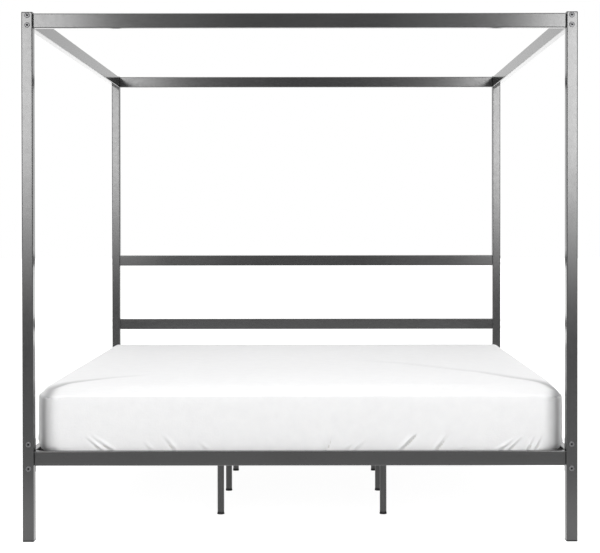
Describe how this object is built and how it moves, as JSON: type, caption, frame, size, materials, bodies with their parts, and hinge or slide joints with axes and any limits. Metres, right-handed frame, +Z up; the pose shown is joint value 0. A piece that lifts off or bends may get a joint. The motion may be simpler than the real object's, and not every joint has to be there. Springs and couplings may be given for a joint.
{
  "type": "four poster canopy bed",
  "caption": "King-size bed with a square steel tube canopy frame on tall corner posts, an open rail headboard, a slatted base with support legs, and a mattress in a fitted sheet.",
  "frame": {"origin": "middle of the bed's outline, on the floor", "axes": "+X to the right seen from the foot end, +Y from the foot end to the head end, +Z up"},
  "size_m": [1.8986, 2.0886, 1.8083],
  "materials": {
    "graphite_powder_coat": "semi-gloss dark grey powder coat",
    "black_powder_coat": "satin black powder coat",
    "black_plastic": "moulded black plastic, fine texture",
    "grey_bolt_steel": "grey coated bolt heads with dark sockets",
    "mattress_ticking": "off-white knitted mattress cover",
    "white_cotton": "plain woven white cotton"
  },
  "bodies": {
    "bed_frame": {"post_foot_left": "graphite_powder_coat", "post_cap_foot_left": "black_plastic", "post_glide_foot_left": "black_plastic", "post_foot_right": "graphite_powder_coat", "post_cap_foot_right": "black_plastic", "post_glide_foot_right": "black_plastic", "post_head_left": "graphite_powder_coat", "post_cap_head_left": "black_plastic", "post_glide_head_left": "black_plastic", "post_head_right": "graphite_powder_coat", "post_cap_head_right": "black_plastic", "post_glide_head_right": "black_plastic", "canopy_rail_foot": "graphite_powder_coat", "canopy_rail_head": "graphite_powder_coat", "canopy_rail_left": "graphite_powder_coat", "canopy_rail_right": "graphite_powder_coat", "base_rail_foot": "graphite_powder_coat", "base_rail_head": "graphite_powder_coat", "side_rail_left": "graphite_powder_coat", "side_rail_right": "graphite_powder_coat", "headboard_rail_upper": "graphite_powder_coat", "headboard_rail_lower": "graphite_powder_coat", "canopy_bolts_foot_left": "grey_bolt_steel", "base_bolts_foot_left": "grey_bolt_steel", "post_bolts_head_left": "grey_bolt_steel", "canopy_bolts_foot_right": "grey_bolt_steel", "base_bolts_foot_right": "grey_bolt_steel", "post_bolts_head_right": "grey_bolt_steel", "slat_01": "black_powder_coat", "slat_02": "black_powder_coat", "slat_03": "black_powder_coat", "slat_04": "black_powder_coat", "slat_05": "black_powder_coat", "slat_06": "black_powder_coat", "slat_07": "black_powder_coat", "slat_08": "black_powder_coat", "slat_09": "black_powder_coat", "slat_10": "black_powder_coat", "slat_11": "black_powder_coat", "slat_12": "black_powder_coat", "slat_13": "black_powder_coat", "slat_14": "black_powder_coat", "slat_15": "black_powder_coat", "slat_16": "black_powder_coat", "slat_17": "black_powder_coat", "support_leg_1_left": "black_powder_coat", "support_leg_1_right": "black_powder_coat", "support_leg_2_left": "black_powder_coat", "support_leg_2_right": "black_powder_coat", "support_leg_3_left": "black_powder_coat", "support_leg_3_right": "black_powder_coat"},
    "mattress_and_sheet": {"mattress": "mattress_ticking", "fitted_sheet": "white_cotton"},
    "foot_1_left": {"levelling_foot_1_left": "black_plastic"},
    "foot_1_right": {"levelling_foot_1_right": "black_plastic"},
    "foot_2_left": {"levelling_foot_2_left": "black_plastic"},
    "foot_2_right": {"levelling_foot_2_right": "black_plastic"},
    "foot_3_left": {"levelling_foot_3_left": "black_plastic"},
    "foot_3_right": {"levelling_foot_3_right": "black_plastic"}
  },
  "joints": [
    {"name": "mattress_lift", "type": "slide", "parent": "bed_frame", "child": "mattress_and_sheet", "axis": [0, 0, 1], "range_m": [0, 0.3]},
    {"name": "foot_levelling_1_left", "type": "slide", "parent": "bed_frame", "child": "foot_1_left", "axis": [0, 0, -1], "range_m": [0, 0.01]},
    {"name": "foot_levelling_1_right", "type": "slide", "parent": "bed_frame", "child": "foot_1_right", "axis": [0, 0, -1], "range_m": [0, 0.01]},
    {"name": "foot_levelling_2_left", "type": "slide", "parent": "bed_frame", "child": "foot_2_left", "axis": [0, 0, -1], "range_m": [0, 0.01]},
    {"name": "foot_levelling_2_right", "type": "slide", "parent": "bed_frame", "child": "foot_2_right", "axis": [0, 0, -1], "range_m": [0, 0.01]},
    {"name": "foot_levelling_3_left", "type": "slide", "parent": "bed_frame", "child": "foot_3_left", "axis": [0, 0, -1], "range_m": [0, 0.01]},
    {"name": "foot_levelling_3_right", "type": "slide", "parent": "bed_frame", "child": "foot_3_right", "axis": [0, 0, -1], "range_m": [0, 0.01]}
  ]
}
